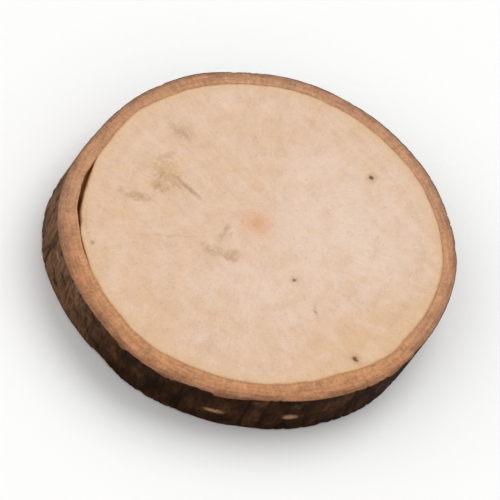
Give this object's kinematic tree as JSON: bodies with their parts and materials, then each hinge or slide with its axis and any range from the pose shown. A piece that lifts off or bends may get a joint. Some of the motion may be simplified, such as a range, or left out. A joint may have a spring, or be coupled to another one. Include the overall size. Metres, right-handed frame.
{
  "type": "wood slice",
  "caption": "Thin slice sawn across a young branch, with pale wood inside a ring of dark bark. It lies flat as a craft blank, tag or small base.",
  "frame": {"origin": "middle of the slice's box, on its lower sawn face", "axes": "+Z along the branch, out of the upper sawn face; +X along the slice's longer diameter"},
  "size_m": [0.0486, 0.0458, 0.0068],
  "materials": {
    "wood": "sawn pale wood, ringed by tan inner bark and dark grey-brown outer bark"
  },
  "bodies": {
    "root": {"wood_slice": "wood"}
  },
  "joints": []
}
